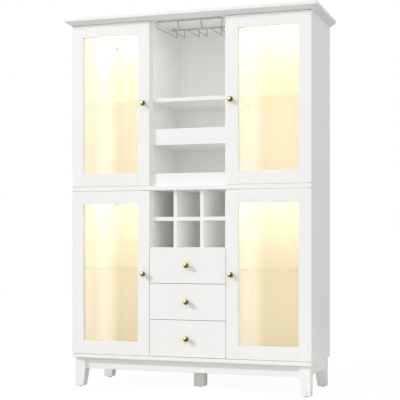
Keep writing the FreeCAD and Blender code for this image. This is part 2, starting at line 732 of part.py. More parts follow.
def glide(name, x, y):
    b = new_body(name)
    sk = outline(b, name + "_section", "XZ_Plane", (
        (0.0, 0.0), (S.glide_r - 2.0, 0.0), (S.glide_r, 2.0), (S.glide_r, S.glide_z), (0.0, S.glide_z)))
    revolve(b, name + "_turn", sk)
    return place(b, x, y, 0.0)


glides = [glide("glide_centre", 0.0, S.centre_leg_y)]
for tag, y in (("front", leg_front_y + S.foot_d / 2.0), ("rear", leg_rear_y - S.foot_d / 2.0)):
    g = glide("glide_" + tag, leg_x - S.foot_w / 2.0, y)
    glides += [g, mirror("glide_%s_left" % tag, g)]
node("foot_glides", group("foot_glides", glides))

apron_h = S.base_z - S.apron_z
inner_leg = leg_x - S.leg_w
side_apron = box("apron_right", S.board_t, leg_rear_y - leg_front_y - S.leg_d * 2.0, apron_h,
                 leg_x - S.apron_in - S.board_t, leg_front_y + S.leg_d, S.apron_z)
node("base_aprons", group("base_aprons", [
    box("apron_front", inner_leg * 2.0, S.board_t, apron_h, -inner_leg, leg_front_y + S.apron_in, S.apron_z),
    box("apron_rear", inner_leg * 2.0, S.board_t, apron_h, -inner_leg,
        leg_rear_y - S.apron_in - S.board_t, S.apron_z),
    side_apron, mirror("apron_left", side_apron)]))

# -------------------------------------------------------------------- knobs

def knob(name, x, z):
    """Turned knob: a foot, a neck, and a domed head with a rounded rim.  The
    rim's arc runs smoothly into the spheres of the dome and the underside."""
    b = new_body(name)
    sk = b.newObject("Sketcher::SketchObject", name + "_section")
    plane = [f for f in b.Origin.OriginFeatures if f.Role == "XZ_Plane"][0]
    sk.AttachmentSupport = [(plane, "")]
    sk.MapMode = "FlatFace"
    bore_r = S.screw_r + 0.08
    deep = S.screw_in + 0.3
    rim_x = S.knob_r - S.knob_rim
    spots = [(bore_r, 0.0), (S.knob_foot, 0.0), (S.knob_foot, 1.6), (S.knob_neck, 4.2), (S.knob_neck, 8.4),
             None, None, (0.0, S.knob_len), (0.0, deep), (bore_r, deep)]
    at = [Vector(val(q[0]), val(q[1]), 0) if q else None for q in spots]
    rx, ry_, rr = rim_x.v, S.knob_wide.v, S.knob_rim.v
    # sphere of the dome, through the tip
    tip = S.knob_len.v
    dome_z = ((tip - rr) ** 2 - rx ** 2 - ry_ ** 2) / (2.0 * (tip - rr - ry_))
    # sphere of the underside, through the head of the neck
    nx, nz = at[4].x, at[4].y
    lo, hi = ry_, ry_ + 40.0
    for _ in range(60):
        m = (lo + hi) / 2.0
        if math.hypot(nx, m - nz) - rr < math.hypot(rx, m - ry_):
            hi = m
        else:
            lo = m
    under_z = (lo + hi) / 2.0
    a_low = math.atan2(ry_ - under_z, rx)
    a_high = math.atan2(ry_ - dome_z, rx)
    a_neck = math.atan2(nz - under_z, nx)
    up = Vector(0, 0, 1)

    def arc(cx, cz, r, a0, a1):
        return Part.ArcOfCircle(Part.Circle(Vector(cx, cz, 0), up, r), a0, a1)

    for i in range(4):
        sk.addGeometry(Part.LineSegment(at[i], at[i + 1]), False)
    sk.addGeometry(arc(0.0, under_z, math.hypot(nx, under_z - nz), a_neck, a_low), False)
    sk.addGeometry(arc(rx, ry_, rr, a_low, a_high), False)
    sk.addGeometry(arc(0.0, dome_z, tip - dome_z, a_high, math.pi / 2.0), False)
    for i in (7, 8, 9):
        sk.addGeometry(Part.LineSegment(at[i], at[(i + 1) % 10]), False)
    for i in range(10):
        kind = "Tangent" if i in (4, 5) else "Coincident"
        sk.addConstraint(Sketcher.Constraint(kind, i, 2, (i + 1) % 10, 1))
    for i in (4, 6):
        sk.addConstraint(Sketcher.Constraint("PointOnObject", i, 3, -2))
    held = [(i, 1, spots[i]) for i in range(10) if spots[i]] + [(5, 3, (rim_x, S.knob_wide))]
    for i, end, spot in held:
        for kind, axis, q in (("DistanceX", -2, spot[0]), ("DistanceY", -1, spot[1])):
            if abs(val(q)) < 1e-9:
                sk.addConstraint(Sketcher.Constraint("PointOnObject", i, end, axis))
            else:
                k = sk.addConstraint(Sketcher.Constraint(kind, -1, 1, i, end, val(q)))
                if isinstance(q, Size):
                    sk.setExpression("Constraints[%d]" % k, q.t)
    k = sk.addConstraint(Sketcher.Constraint("Radius", 5, rr))
    sk.setExpression("Constraints[%d]" % k, S.knob_rim.t)
    revolve(b, name + "_turn", sk)
    return place(b, x, S.front_y, z, TURN["-y"])


def knob_screw(name, x, z):
    return fuse(name, [
        rod(name + "_shank", S.screw_r, S.door_t + S.screw_in, x, S.front_y - S.screw_in, z, "y"),
        rod(name + "_head", S.screw_head, 2.4, x, door_y, z, "y")])


def knob_hole(name, x, z):
    return rod(name, S.screw_r + 0.3, S.door_t + 2.0, x, S.front_y - 1.0, z, "y")


# -------------------------------------------------------------------- doors

open_in = S.door_in + S.stile_w
open_out = S.body_half - S.stile_w
sw, sd, sy, st = S.stile_w, S.slot_deep, S.slot_y, S.slot_w

for floor, z0, z1, rb, rt, zk, ceiling, seat in (
        ("upper", S.up_low, S.up_high, S.up_rail_bot, S.up_rail_top, S.knob_up, S.top_z, mid_top),
        ("lower", S.lo_low, S.lo_high, S.lo_rail_bot, S.lo_rail_top, S.knob_lo, S.mid_z, bot_top)):
    p = floor + "_door_"
    high = z1 - z0

    # pivot stile: glass groove on its inner edge, bevelled heel at the rear
    outer = new_body(p + "pivot_stile")
    sk = outline(outer, p + "pivot_stile_plan", "XY_Plane", (
        (0.0, 0.0), (sw, 0.0), (sw, S.door_t - S.heel), (sw - S.heel, S.door_t), (0.0, S.door_t),
        (0.0, sy + st), (sd, sy + st), (sd, sy), (0.0, sy)))
    pad(outer, p + "pivot_stile_pad", sk, high)
    place(outer, open_out, S.front_y, z0)
    outer_cut = cut(p + "pivot_stile_bored", outer, [
        rod(p + "pin_seat_low", S.pin_hole, S.pin_deep, S.pivot_x, pivot_y, z0),
        rod(p + "pin_seat_high", S.pin_hole, S.pin_deep, S.pivot_x, pivot_y, z1 - S.pin_deep)])

    # knob stile
    inner = new_body(p + "knob_stile")
    sk = outline(inner, p + "knob_stile_plan", "XY_Plane", (
        (0.0, 0.0), (sw, 0.0), (sw, sy), (sw - sd, sy), (sw - sd, sy + st), (sw, sy + st),
        (sw, S.door_t), (0.0, S.door_t)))
    pad(inner, p + "knob_stile_pad", sk, high)
    place(inner, S.door_in, S.front_y, z0)
    inner_cut = cut(p + "knob_stile_bored", inner, [knob_hole(p + "knob_hole", S.knob_x, zk)])

    # rails, with tongues that fill the ends of the grooves
    span = open_out - open_in
    low = new_body(p + "low_rail")
    sk = outline(low, p + "low_rail_section", "YZ_Plane", (
        (0.0, 0.0), (S.door_t, 0.0), (S.door_t, rb), (sy + st, rb), (sy + st, rb - sd),
        (sy, rb - sd), (sy, rb), (0.0, rb)))
    pad(low, p + "low_rail_pad", sk, span)
    place(low, open_in, S.front_y, z0)
    top = new_body(p + "top_rail")
    sk = outline(top, p + "top_rail_section", "YZ_Plane", (
        (0.0, 0.0), (sy, 0.0), (sy, sd), (sy + st, sd), (sy + st, 0.0), (S.door_t, 0.0),
        (S.door_t, rt), (0.0, rt)))
    pad(top, p + "top_rail_pad", sk, span)
    place(top, open_in, S.front_y, z1 - rt)
    rails = []
    for tag, body_, za, zb in (("low", low, z0, z0 + rb - sd), ("top", top, z1 - rt + sd, z1)):
        rails.append(fuse(p + tag + "_rail_tongued", [
            body_,
            box(p + tag + "_tongue_in", sd - 0.3, st - 0.2, zb - za, open_in - sd + 0.3,
                S.front_y + sy + 0.1, za),
            box(p + tag + "_tongue_out", sd - 0.3, st - 0.2, zb - za, open_out,
                S.front_y + sy + 0.1, za)]))

    frame = group(p + "frame_right", [outer_cut, inner_cut] + rails)
    node("%s_right_door_frame" % floor, frame)
    node("%s_left_door_frame" % floor, mirror(p + "frame_left", frame))

    pane = box(p + "glass_right", span + S.glass_in * 2.0, S.glass_t, high - rb - rt + S.glass_in * 2.0,
               open_in - S.glass_in, S.front_y + sy + 0.2, z0 + rb - S.glass_in)
    node("%s_right_door_glass" % floor, pane)
    node("%s_left_door_glass" % floor, mirror(p + "glass_left", pane))

    pull = knob(p + "knob_right", S.knob_x, zk)
    node("%s_right_door_knob" % floor, pull)
    node("%s_left_door_knob" % floor, mirror(p + "knob_left", pull))

    plate_z = z1 - S.strike_high - 2.0
    fittings = group(p + "fittings_right", [
        rod(p + "pin_low", S.pin_r, S.pin_deep + (z0 - seat) + S.pin_out, S.pivot_x, pivot_y,
            seat - S.pin_out),
        rod(p + "pin_high", S.pin_r, S.pin_deep + (ceiling - z1) + S.pin_out, S.pivot_x, pivot_y,
            z1 - S.pin_deep),
        box(p + "strike", S.strike_len, S.strike_t, S.strike_high,
            S.catch_x + (S.catch_len - S.strike_len) / 2.0, door_y, plate_z),
        knob_screw(p + "knob_screw", S.knob_x, zk)])
    node("%s_right_door_fittings" % floor, fittings)
    node("%s_left_door_fittings" % floor, mirror(p + "fittings_left", fittings))

# magnetic catches under the compartment ceilings, behind the knob stiles
catches = []
for tag, z in (("up", S.top_z), ("lo", S.mid_z)):
    c = box("catch_" + tag, S.catch_len, S.catch_deep, S.catch_high, S.catch_x,
            door_y + S.strike_t + 0.5, z - S.catch_high)
    catches += [c, mirror("catch_%s_left" % tag, c)]
node("door_catches", group("door_catches", catches))

# ------------------------------------------------------------------ drawers

fixed_runners = []
DRAWERS = (("upper", S.d1_low, S.d1_high), ("middle", S.d2_low, S.d2_high), ("lower", S.d3_low, S.d3_high))
for tag, z0, z1 in DRAWERS:
    p = tag + "_drawer_"
    zk = (z0 + z1) / 2.0
    zb = z0 + S.box_up
    zg = zb + S.bot_up
    slot_z = zg - 0.15

    front = box(p + "front_board", S.front_half * 2.0, S.door_t, z1 - z0, -S.front_half, S.front_y, z0)
    groove = box(p + "front_groove", (S.box_half - S.box_t + S.bot_in + 0.3) * 2.0, S.bot_in + 1.3, S.bot_slot,
                 -(S.box_half - S.box_t + S.bot_in + 0.3), door_y - S.bot_in - 0.3, slot_z)
    node(p + "front", cut(p + "front", front, [groove, knob_hole(p + "knob_hole", 0.0, zk)]))

    side = box(p + "side_board", S.box_t, S.box_deep, S.box_high, S.box_half - S.box_t, door_y, zb)
    side_slot = box(p + "side_slot", S.bot_in + 1.3, S.box_deep + 2.0, S.bot_slot,
                    S.box_half - S.box_t - 1.0, door_y - 1.0, slot_z)
    side_right = cut(p + "side_right", side, [side_slot])
    rear = box(p + "rear", (S.box_half - S.box_t) * 2.0, S.box_t, S.box_high - S.bot_up - S.bot_slot,
               -(S.box_half - S.box_t), door_y + S.box_deep - S.box_t, slot_z + S.bot_slot)
    bottom = box(p + "bottom", (S.box_half - S.box_t + S.bot_in) * 2.0, S.box_deep + S.bot_in, S.bot_t,
                 -(S.box_half - S.box_t + S.bot_in), door_y - S.bot_in, zg)
    node(p + "box", group(p + "box", [side_right, mirror(p + "side_left", side_right), rear, bottom]))

    node(p + "knob", knob(p + "knob", 0.0, zk))

    # moving runner on the box's side, inside the fixed channel on the divider
    zr = zb + S.run_up
    t, w, hs, hh = S.run_t, S.run_wide, S.run_slim, S.run_high
    slim = new_body(p + "moving_runner")
    sk = outline(slim, p + "moving_runner_section", "XZ_Plane", (
        (0.0, 0.0), (w, 0.0), (w, t), (t, t), (t, hs - t), (w, hs - t), (w, hs), (0.0, hs)))
    pad(slim, p + "moving_runner_pad", sk, S.run_len, True)
    place(slim, S.box_half, door_y + 2.0, zr - hs / 2.0)
    fixed = new_body(p + "fixed_runner")
    sk = outline(fixed, p + "fixed_runner_section", "XZ_Plane", (
        (0.0, 0.0), (w, 0.0), (w, hh), (0.0, hh), (0.0, hh - t), (w - t, hh - t), (w - t, t), (0.0, t)))
    pad(fixed, p + "fixed_runner_pad", sk, S.run_len, True)
    place(fixed, S.col_half - w, S.carcass_y + 2.0, zr - hh / 2.0)
    fixed_runners += [fixed, mirror(p + "fixed_runner_left", fixed)]

    node(p + "fittings", group(p + "fittings", [
        slim, mirror(p + "moving_runner_left", slim), knob_screw(p + "knob_screw", 0.0, zk)]))
node("drawer_runners", group("drawer_runners", fixed_runners))

# ------------------------------------------------------------------- lights

bars, lenses, grommets, leads, clips = [], [], [], [], []
LX, LB = S.lead_x.v, S.lead_back.v
for tag, zc, zp, drop in (("up", S.top_z, S.pass_up, 10.0), ("lo", S.mid_z, S.pass_lo, 30.0)):
    w, h, t = S.led_w, S.led_high, S.led_t
    bar = new_body("light_bar_" + tag)
    sk = outline(bar, "light_bar_section_" + tag, "YZ_Plane", (
        (0.0, 0.0), (t, 0.0), (t, h - t), (w - t, h - t), (w - t, 0.0), (w, 0.0), (w, h), (0.0, h)))
    pad(bar, "light_bar_pad_" + tag, sk, S.led_len)
    place(bar, S.led_x, S.led_y, zc - h)
    bars += [bar, mirror("light_bar_%s_left" % tag, bar)]

    lens = box("diffuser_" + tag, S.led_len, w - t * 2.0, S.lens_t, S.led_x, S.led_y + t, zc - h)
    lenses += [lens, mirror("diffuser_%s_left" % tag, lens)]

    g = new_body("grommet_" + tag)
    sk = outline(g, "grommet_section_" + tag, "XZ_Plane", (
        (S.grommet_bore, 0.0), (S.grommet_r, 0.0), (S.grommet_r, S.back_t + 1.0), (S.grommet_lip, S.back_t + 1.0),
        (S.grommet_lip, S.back_t + 3.0), (S.grommet_bore, S.back_t + 3.0)))
    revolve(g, "grommet_turn_" + tag, sk)
    place(g, S.lead_x, S.back_y + S.back_t + 1.0, zp, TURN["-y"])
    grommets += [g, mirror("grommet_%s_left" % tag, g)]

    # lead: back along the ceiling, down, through the grommet, along the rear
    # of the back panel to the middle, and down into the driver
    z_run = zc.v - 4.0
    y_drop = S.back_y.v - 14.0
    lead = bent("lead_" + tag, (
        (LX, S.led_y.v + S.led_w.v, z_run), (LX, y_drop, z_run), (LX, y_drop, zp.v),
        (LX, LB, zp.v), (drop, LB, zp.v), (drop, LB, S.driver_low.v + S.driver_high.v)),
        S.lead_r, (9.0, 9.0, 7.0, 26.0))
    leads += [lead, mirror("lead_%s_left" % tag, lead)]

    for k, xc in enumerate((180.0, 380.0)):
        name = "clip_%s_%d" % (tag, k)
        block = box(name + "_block", 10.0, 11.5, 10.0, xc - 5.0, S.back_y + S.back_t, zp - 5.0)
        clip = cut(name, block, [rod(name + "_eye", S.lead_r + 0.2, 12.0, xc - 6.0, S.lead_back, zp, "x")])
        clips += [clip, mirror(name + "_left", clip)]
for k, zc in enumerate((1600.0, 1350.0, 1100.0)):
    name = "clip_fall_%d" % k
    block = box(name + "_block", 30.0, 11.5, 10.0, -15.0, S.back_y + S.back_t, zc)
    clips.append(cut(name, block, [
        rod("%s_eye_%s" % (name, hand), S.lead_r + 0.2, 12.0, sx * 10.0, S.lead_back, zc - 1.0)
        for hand, sx in (("r", 1.0), ("l", -1.0))]))

node("light_bars", group("light_bars", bars))
node("light_diffusers", group("light_diffusers", lenses))
node("cable_grommets", group("cable_grommets", grommets))
node("light_leads", group("light_leads", leads))
node("lead_clips", group("lead_clips", clips))

driver = box("driver_block", S.driver_half * 2.0, S.driver_deep, S.driver_high,
             -S.driver_half, S.back_y + S.back_t, S.driver_low)
node("light_driver", cut("light_driver", driver, [
    rod("driver_inlet", S.inlet_r, 12.0, 0.0, S.back_y + S.back_t + S.driver_deep / 2.0, S.driver_low)]))

# ------------------------------------------------------------------- output

doc.recompute()

for obj in doc.Objects:
    state = [s for s in obj.State if s in ("Invalid", "Error")]
    if state:
        raise RuntimeError("%s (%s) failed: %s" % (obj.Name, obj.Label, ", ".join(obj.State)))

labels = [label for label, obj in NODES]
if len(set(labels)) != len(labels) or len(labels) > 60:
    raise RuntimeError("node names: %d, %d different" % (len(labels), len(set(labels))))

for label, obj in NODES:
    if obj.Label != label:
        raise RuntimeError("label of %s is %s" % (label, obj.Label))
    if obj.Shape.isNull() or not obj.Shape.isValid() or not obj.Shape.Solids:
        raise RuntimeError("bad shape: " + label)
    for solid in obj.Shape.Solids:
        if solid.Volume <= 0:
            raise RuntimeError("inside-out solid: " + label)

os.makedirs("parts", exist_ok=True)
for label, obj in NODES:
    obj.Shape.exportStep("parts/%s.step" % label)
    bb = obj.Shape.BoundBox
    print("%-28s %2d solids %10.1f cm3  x %8.1f %8.1f  y %8.1f %8.1f  z %8.1f %8.1f" % (
        label, len(obj.Shape.Solids), obj.Shape.Volume / 1000.0,
        bb.XMin, bb.XMax, bb.YMin, bb.YMax, bb.ZMin, bb.ZMax))
print(len(NODES), "nodes")
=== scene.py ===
import math

import bpy
import numpy as np
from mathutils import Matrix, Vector


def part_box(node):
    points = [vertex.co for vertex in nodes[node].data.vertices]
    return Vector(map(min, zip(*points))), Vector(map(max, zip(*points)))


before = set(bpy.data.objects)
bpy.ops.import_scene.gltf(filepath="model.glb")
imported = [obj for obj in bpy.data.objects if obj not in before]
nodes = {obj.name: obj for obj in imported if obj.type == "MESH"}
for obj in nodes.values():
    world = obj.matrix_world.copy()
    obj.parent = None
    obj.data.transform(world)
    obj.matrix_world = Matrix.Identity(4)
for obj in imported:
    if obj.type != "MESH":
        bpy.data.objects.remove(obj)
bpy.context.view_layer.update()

# White bar cabinet: four glazed doors with warm light behind them, a centre
# column with a wire stemware rack, shelves, wine cubbies and three drawers.
# Metres, X to the right, Y to the back, Z up, origin on the floor.

scene = bpy.context.scene

DOORS = [f + "_" + h for f in ("upper", "lower") for h in ("left", "right")]
DRAWERS = ["upper", "middle", "lower"]


# ----------------------------------------------------------------- materials

class Look(object):
    """A material and short ways to add and join its nodes."""

    def __init__(self, name):
        self.m = bpy.data.materials.new(name)
        self.m.use_nodes = True
        self.nt = self.m.node_tree
        self.nt.nodes.clear()
        self.end = self.add("ShaderNodeOutputMaterial")

    def add(self, kind, **settings):
        n = self.nt.nodes.new(kind)
        for k, v in settings.items():
            setattr(n, k, v)
        return n

    def put(self, n, **values):
        for k, v in values.items():
            n.inputs[k.replace("_", " ")].default_value = v
        return n

    def link(self, a, b):
        self.nt.links.new(a, b)

    def place(self, scale=(1, 1, 1)):
        """Coordinates fixed to the piece, in metres, stretched by scale."""
        c = self.add("ShaderNodeTexCoord")
        m = self.add("ShaderNodeMapping")
        m.inputs["Scale"].default_value = scale
        self.link(c.outputs["Object"], m.inputs["Vector"])
        return m.outputs["Vector"]

    def noise(self, where, scale, detail=2.0, rough=0.5, warp=0.0):
        n = self.add("ShaderNodeTexNoise")
        n.inputs["Scale"].default_value = scale
        n.inputs["Detail"].default_value = detail
        n.inputs["Roughness"].default_value = rough
        n.inputs["Distortion"].default_value = warp
        self.link(where, n.inputs["Vector"])
        return n.outputs["Fac"]

    def ramp(self, fac, *stops):
        n = self.add("ShaderNodeValToRGB")
        e = n.color_ramp.elements
        while len(e) < len(stops):
            e.new(0.5)
        for s, (at, colour) in zip(e, stops):
            s.position = at
            s.color = tuple(colour) + (1.0,)
        self.link(fac, n.inputs["Fac"])
        return n.outputs["Color"]

    def span(self, fac, low, high, a=0.3, b=0.7):
        n = self.add("ShaderNodeMapRange")
        n.inputs["From Min"].default_value = a
        n.inputs["From Max"].default_value = b
        n.inputs["To Min"].default_value = low
        n.inputs["To Max"].default_value = high
        self.link(fac, n.inputs["Value"])
        return n.outputs["Result"]

    def maths(self, op, a, b=None):
        n = self.add("ShaderNodeMath", operation=op)
        for s, v in zip(n.inputs, (a, b)):
            if v is None:
                continue
            if isinstance(v, (int, float)):
                s.default_value = v
            else:
                self.link(v, s)
        return n.outputs[0]

    def tint(self, colour, fac, amount, mode="MULTIPLY"):
        """Lays a pattern over a colour."""
        n = self.add("ShaderNodeMix", data_type="RGBA", blend_type=mode)
        n.inputs["Factor"].default_value = amount
        self.link(colour, n.inputs["A"])
        self.link(fac, n.inputs["B"])
        return n.outputs["Result"]

    def bump(self, height, strength, distance, base=None):
        n = self.add("ShaderNodeBump")
        n.inputs["Strength"].default_value = strength
        n.inputs["Distance"].default_value = distance
        self.link(height, n.inputs["Height"])
        if base is not None:
            self.link(base, n.inputs["Normal"])
        return n.outputs["Normal"]

    def shell(self, colour, rough, normal=None, **values):
        p = self.add("ShaderNodeBsdfPrincipled")
        self.put(p, **values)
        self.link(colour, p.inputs["Base Color"])
        self.link(rough, p.inputs["Roughness"])
        if normal is not None:
            self.link(normal, p.inputs["Normal"])
        self.link(p.outputs["BSDF"], self.end.inputs["Surface"])
        return p


def lacquer(name, low, high, rough, peel):
    """Sprayed white lacquer: a slow drift of tone, fine mottling, and the
    orange-peel of the spray over a faintly wavy board."""
    k = Look(name)
    w = k.place()
    drift = k.noise(w, 2.3, 3.0, 0.55)
    fine = k.noise(w, 95.0, 5.0, 0.6)
    colour = k.ramp(drift, (0.30, low), (0.70, high))
    flecks = k.ramp(fine, (0.30, (0.965, 0.965, 0.960)), (0.62, (1.0, 1.0, 1.0)))
    colour = k.tint(colour, flecks, 0.55)
    gloss = k.span(k.noise(w, 31.0, 4.0, 0.6), rough[0], rough[1])
    wave = k.bump(k.noise(w, 7.0, 1.0), 0.10, 0.0006)
    skin = k.bump(k.noise(w, 560.0, 2.0, 0.45), peel, 0.00025, wave)
    k.shell(colour, gloss, skin, IOR=1.48)
    return k.m


def brass(name):
    """Turned brass under clear varnish: rings left by the lathe, and a tone
    that drifts at random."""
    k = Look(name)
    c = k.add("ShaderNodeTexCoord")
    s = k.add("ShaderNodeSeparateXYZ")
    k.link(c.outputs["Generated"], s.inputs["Vector"])
    x = k.maths("SUBTRACT", s.outputs["X"], 0.5)
    z = k.maths("SUBTRACT", s.outputs["Z"], 0.5)
    r = k.maths("SQRT", k.maths("ADD", k.maths("MULTIPLY", x, x), k.maths("MULTIPLY", z, z)))
    rings = k.maths("SINE", k.maths("MULTIPLY", r, 260.0))
    w = k.place()
    tone = k.noise(w, 120.0, 4.0, 0.6)
    spots = k.noise(w, 900.0, 2.0, 0.5)
    colour = k.ramp(tone, (0.30, (0.56, 0.455, 0.165)), (0.70, (0.70, 0.585, 0.240)))
    worn = k.ramp(spots, (0.35, (0.86, 0.84, 0.80)), (0.60, (1.0, 1.0, 1.0)))
    colour = k.tint(colour, worn, 0.5)
    gloss = k.span(tone, 0.17, 0.27)
    k.shell(colour, gloss, k.bump(rings, 0.05, 0.00006), Metallic=1.0,
            Coat_Weight=0.15, Coat_Roughness=0.12)
    return k.m


def metal(name, dark, light, rough, scale, stretch=(1, 1, 1), grain=0.05, metallic=1.0):
    """Plain metal with streaks or spots of tone and gloss."""
    k = Look(name)
    w = k.place(stretch)
    tone = k.noise(w, scale, 4.0, 0.6, 0.3)
    colour = k.ramp(tone, (0.32, dark), (0.68, light))
    gloss = k.span(k.noise(w, scale * 2.3, 3.0), rough[0], rough[1])
    k.shell(colour, gloss, k.bump(tone, grain, 0.0001), Metallic=metallic)
    return k.m


def zinc(name):
    """Zinc plating with its faint crystals."""
    k = Look(name)
    w = k.place()
    v = k.add("ShaderNodeTexVoronoi")
    v.inputs["Scale"].default_value = 260.0
    k.link(w, v.inputs["Vector"])
    cells = k.add("ShaderNodeSeparateColor")
    k.link(v.outputs["Color"], cells.inputs["Color"])
    colour = k.ramp(cells.outputs["Red"], (0.0, (0.50, 0.51, 0.53)), (1.0, (0.66, 0.67, 0.69)))
    cloud = k.ramp(k.noise(w, 40.0, 3.0), (0.3, (0.90, 0.90, 0.88)), (0.7, (1.0, 1.0, 1.0)))
    colour = k.tint(colour, cloud, 0.8)
    gloss = k.span(cells.outputs["Green"], 0.30, 0.46, 0.0, 1.0)
    k.shell(colour, gloss, k.bump(k.noise(w, 700.0, 2.0), 0.06, 0.0001), Metallic=1.0)
    return k.m


def plastic(name, low, high, rough, cell=1400.0, depth=0.12):
    """Moulded plastic with a fine spark-eroded texture."""
    k = Look(name)
    w = k.place()
    colour = k.ramp(k.noise(w, 18.0, 4.0, 0.6), (0.3, low), (0.7, high))
    specks = k.ramp(k.noise(w, cell * 0.5, 2.0), (0.35, (0.93, 0.93, 0.93)), (0.65, (1.0, 1.0, 1.0)))
    colour = k.tint(colour, specks, 0.6)
    gloss = k.span(k.noise(w, 60.0, 3.0), rough[0], rough[1])
    k.shell(colour, gloss, k.bump(k.noise(w, cell, 3.0, 0.6), depth, 0.0001), IOR=1.49)
    return k.m


def beech(name):
    """Beech: pale straight grain with short dark flecks."""
    k = Look(name)
    w = k.place((1.0, 1.0, 0.10))
    grain = k.noise(w, 420.0, 5.0, 0.62, 0.4)
    colour = k.ramp(grain, (0.28, (0.45, 0.28, 0.15)), (0.52, (0.63, 0.43, 0.26)), (0.75, (0.72, 0.53, 0.34)))
    fleck = k.ramp(k.noise(k.place((1.0, 1.0, 0.25)), 1500.0, 2.0),
                   (0.28, (0.60, 0.52, 0.45)), (0.42, (1.0, 1.0, 1.0)))
    colour = k.tint(colour, fleck, 0.7)
    gloss = k.span(grain, 0.50, 0.66)
    k.shell(colour, gloss, k.bump(grain, 0.25, 0.0002), IOR=1.45)
    return k.m


def opal(name):
    """Opal strip over a row of diodes: brighter over each one."""
    k = Look(name)
    w = k.place()
    s = k.add("ShaderNodeSeparateXYZ")
    k.link(w, s.inputs["Vector"])
    row = k.maths("COSINE", k.maths("MULTIPLY", s.outputs["X"], 2.0 * math.pi / 0.0166))
    soft = k.noise(w, 160.0, 2.0)
    glow = k.maths("ADD", k.maths("MULTIPLY", row, 0.45), k.span(soft, 4.2, 4.8))
    colour = k.ramp(soft, (0.3, (0.90, 0.84, 0.74)), (0.7, (0.95, 0.90, 0.80)))
    p = k.shell(colour, k.span(soft, 0.42, 0.55), k.bump(soft, 0.05, 0.0001), IOR=1.49)
    p.inputs["Emission Color"].default_value = (1.0, 0.80, 0.50, 1.0)
    k.link(glow, p.inputs["Emission Strength"])
    return k.m


def clear(name, colour):
    """Far face of a sheet of glass: only the faint tint of its depth."""
    k = Look(name)
    w = k.place()
    through = k.add("ShaderNodeBsdfTransparent")
    k.link(k.ramp(k.noise(w, 4.0, 3.0), (0.35, tuple(c * 0.994 for c in colour)), (0.65, colour)),
           through.inputs["Color"])
    k.link(through.outputs["BSDF"], k.end.inputs["Surface"])
    return k.m


def pane(name, clear, gloss_to):
    """Face of clear sheet glass: what is behind shows through a faint tint,
    and more of the room is mirrored the flatter the view."""
    k = Look(name)
    w = k.place()
    through = k.add("ShaderNodeBsdfTransparent")
    veil = k.ramp(k.noise(w, 4.0, 3.0), (0.35, tuple(c * 0.994 for c in clear)), (0.65, clear))
    k.link(veil, through.inputs["Color"])
    mirror = k.add("ShaderNodeBsdfGlossy")
    sheen = k.ramp(k.noise(w, 9.0, 2.0), (0.3, (0.96, 0.97, 0.97)), (0.7, (1.0, 1.0, 1.0)))
    k.link(sheen, mirror.inputs["Color"])
    k.link(k.span(k.noise(w, 14.0, 4.0, 0.65), 0.004, gloss_to), mirror.inputs["Roughness"])
    edge = k.add("ShaderNodeLayerWeight")
    edge.inputs["Blend"].default_value = 0.5
    f = k.maths("POWER", edge.outputs["Facing"], 5.0)
    f = k.maths("ADD", k.maths("MULTIPLY", f, 0.957), 0.043)
    mix = k.add("ShaderNodeMixShader")
    k.link(f, mix.inputs["Fac"])
    k.link(through.outputs["BSDF"], mix.inputs[1])
    k.link(mirror.outputs["BSDF"], mix.inputs[2])
    k.link(mix.outputs["Shader"], k.end.inputs["Surface"])
    return k.m


def glass_rim(name, colour, veil):
    """Ground and polished edge of sheet glass, faintly green from the long
    way the light has come."""
    k = Look(name)
    w = k.place()
    through = k.add("ShaderNodeBsdfTransparent")
    deep = k.ramp(k.noise(w, 22.0, 3.0), (0.3, tuple(c * 0.92 for c in colour)), (0.7, colour))
    k.link(deep, through.inputs["Color"])
    p = k.add("ShaderNodeBsdfPrincipled")
    k.link(deep, p.inputs["Base Color"])
    k.link(k.span(k.noise(w, 300.0, 3.0), 0.12, 0.24), p.inputs["Roughness"])
    k.put(p, IOR=1.52)
    k.link(k.bump(k.noise(w, 900.0, 2.0), 0.05, 0.0001), p.inputs["Normal"])
    mix = k.add("ShaderNodeMixShader")
    mix.inputs["Fac"].default_value = veil
    k.link(through.outputs["BSDF"], mix.inputs[1])
    k.link(p.outputs["BSDF"], mix.inputs[2])
    k.link(mix.outputs["Shader"], k.end.inputs["Surface"])
    return k.m


FRONT = lacquer("lacquer_fronts", (0.895, 0.893, 0.886), (0.915, 0.914, 0.908), (0.36, 0.46), 0.10)
CARCASS = lacquer("lacquer_carcass", (0.892, 0.890, 0.882), (0.912, 0.911, 0.904), (0.42, 0.54), 0.14)
INSIDE = lacquer("lacquer_boxes", (0.850, 0.847, 0.836), (0.875, 0.873, 0.864), (0.48, 0.60), 0.18)
BACK = lacquer("painted_back", (0.882, 0.880, 0.871), (0.902, 0.900, 0.892), (0.50, 0.62), 0.22)
BRASS = brass("satin_brass")
CHROME = metal("chromed_wire", (0.47, 0.475, 0.48), (0.55, 0.555, 0.56), (0.24, 0.32), 300.0, metallic=0.5)
ZINC = zinc("zinc_plate")
ANODISED = metal("anodised_channel", (0.66, 0.665, 0.67), (0.76, 0.765, 0.77), (0.30, 0.42), 260.0, (0.02, 1.0, 1.0), 0.10)
NYLON = plastic("grey_nylon", (0.24, 0.24, 0.25), (0.30, 0.30, 0.31), (0.45, 0.55))
DARK = plastic("dark_glide", (0.018, 0.018, 0.019), (0.035, 0.035, 0.036), (0.42, 0.55), 1100.0, 0.2)
WHITE = plastic("white_plastic", (0.72, 0.72, 0.71), (0.78, 0.78, 0.77), (0.36, 0.48))
LEAD = plastic("white_lead", (0.70, 0.70, 0.69), (0.76, 0.76, 0.75), (0.30, 0.40), 2200.0, 0.05)
GROMMET = plastic("grey_grommet", (0.52, 0.53, 0.54), (0.58, 0.59, 0.60), (0.42, 0.52))
DRIVER = plastic("driver_case", (0.60, 0.60, 0.60), (0.68, 0.68, 0.68), (0.42, 0.54), 1000.0, 0.2)
BEECH = beech("beech_dowel")
OPAL = opal("lit_diffuser")
